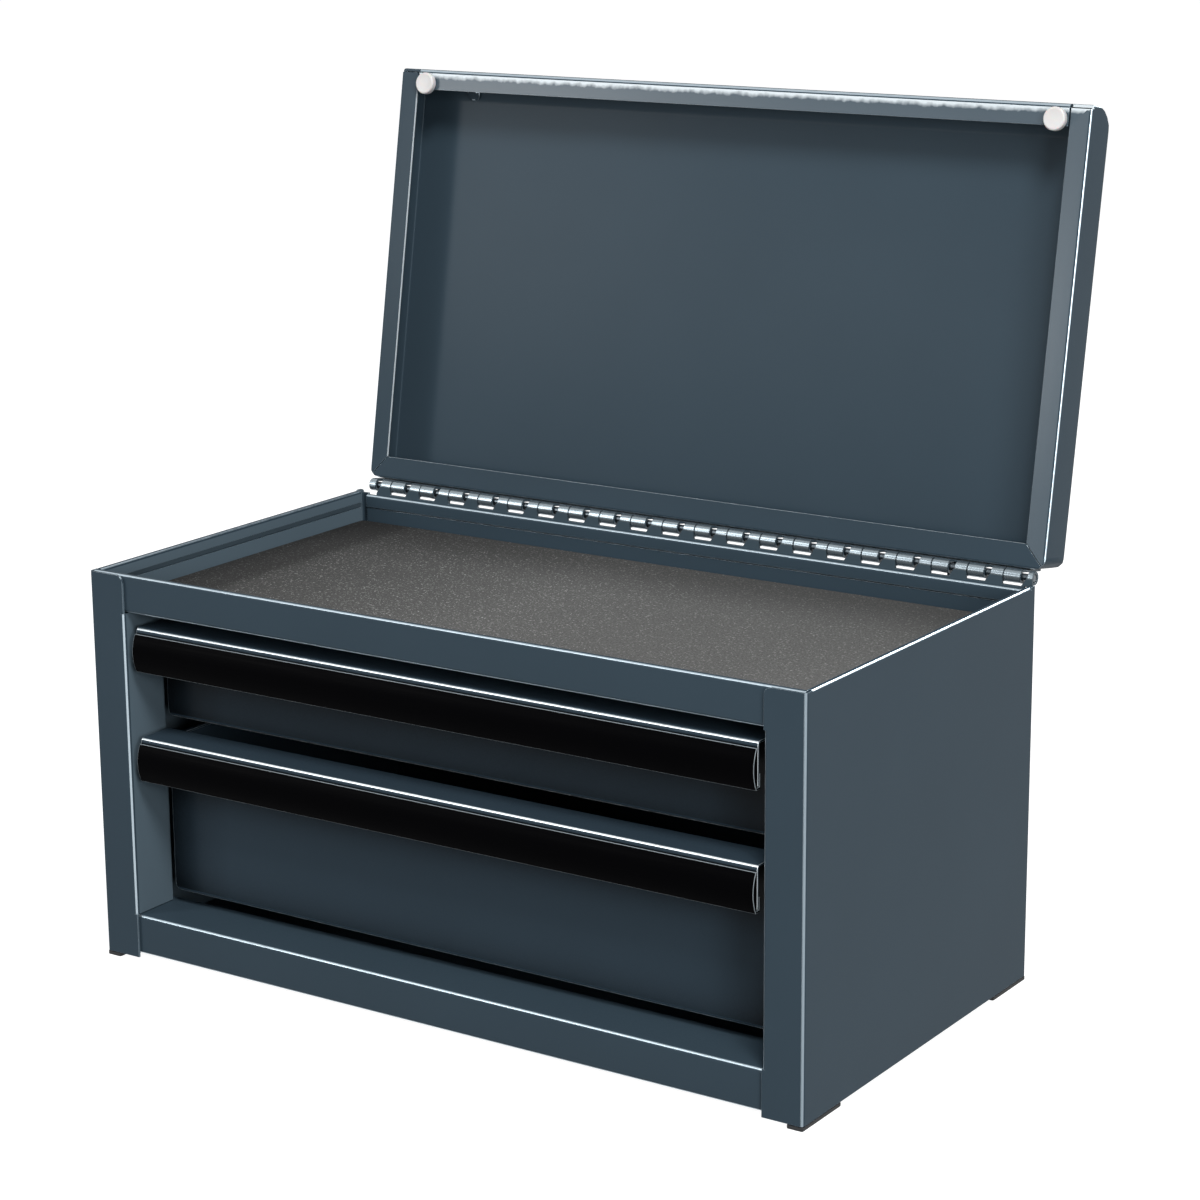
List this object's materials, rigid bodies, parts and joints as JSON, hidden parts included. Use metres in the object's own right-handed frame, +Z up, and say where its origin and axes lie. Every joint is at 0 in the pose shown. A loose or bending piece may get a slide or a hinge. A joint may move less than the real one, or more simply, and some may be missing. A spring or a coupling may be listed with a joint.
{
  "type": "tool chest",
  "caption": "Desk-top tool chest of folded sheet steel, with a lift-up lid on a continuous hinge over an open tray, and drawers with full-width pulls",
  "frame": {"origin": "middle of the bounding box's underside with the lid open, level with the undersides of the feet", "axes": "+X to the viewer's right of the front, -Y out of the front of the drawers, +Z up"},
  "size_m": [0.2838, 0.1968, 0.2952],
  "materials": {
    "slate_paint": "smooth semi-gloss slate powder coat",
    "slate_drawer": "smooth semi-gloss slate powder coat",
    "hinge_paint": "glossy thin slate coat over steel",
    "coated_wire": "thin slate coat over drawn wire",
    "zinc_steel": "satin zinc plate",
    "gloss_black": "glossy extruded plastic",
    "foot_rubber": "matte",
    "bumper_rubber": "smooth, milky",
    "grey_liner": "matte speckled foam"
  },
  "bodies": {
    "case": {"case_side_left": "slate_paint", "case_side_right": "slate_paint", "case_back": "slate_paint", "case_bottom": "slate_paint", "tray_panel": "slate_paint", "tray_liner": "grey_liner", "foot_front_left": "foot_rubber", "foot_front_right": "foot_rubber", "foot_rear_left": "foot_rubber", "foot_rear_right": "foot_rubber", "rear_upright_left": "slate_paint", "rear_upright_right": "slate_paint", "upper_channel_left": "zinc_steel", "upper_channel_right": "zinc_steel", "lower_channel_left": "zinc_steel", "lower_channel_right": "zinc_steel", "lid_stop_left": "slate_paint", "lid_stop_right": "slate_paint", "hinge_leaf_case": "hinge_paint", "hinge_pin": "coated_wire"},
    "lid": {"lid_shell": "slate_paint", "hinge_leaf_lid": "hinge_paint", "lid_bumper_left": "bumper_rubber", "lid_bumper_right": "bumper_rubber", "lid_rivet": "slate_paint"},
    "upper_drawer": {"upper_drawer_box": "slate_drawer", "upper_drawer_front": "slate_drawer", "upper_drawer_pull": "gloss_black", "upper_drawer_runner_left": "zinc_steel", "upper_drawer_runner_right": "zinc_steel", "upper_drawer_liner": "grey_liner"},
    "lower_drawer": {"lower_drawer_box": "slate_drawer", "lower_drawer_front": "slate_drawer", "lower_drawer_pull": "gloss_black", "lower_drawer_runner_left": "zinc_steel", "lower_drawer_runner_right": "zinc_steel", "lower_drawer_liner": "grey_liner"}
  },
  "joints": [
    {"name": "lid_hinge", "type": "hinge", "parent": "case", "child": "lid", "pos_m": [0, 0.05498, 0.14135], "axis": [1, 0, 0], "range_deg": [0, 100.6]},
    {"name": "upper_drawer_slide", "type": "slide", "parent": "case", "child": "upper_drawer", "axis": [0, -1, 0], "range_m": [0, 0.103]},
    {"name": "lower_drawer_slide", "type": "slide", "parent": "case", "child": "lower_drawer", "axis": [0, -1, 0], "range_m": [0, 0.103]}
  ]
}
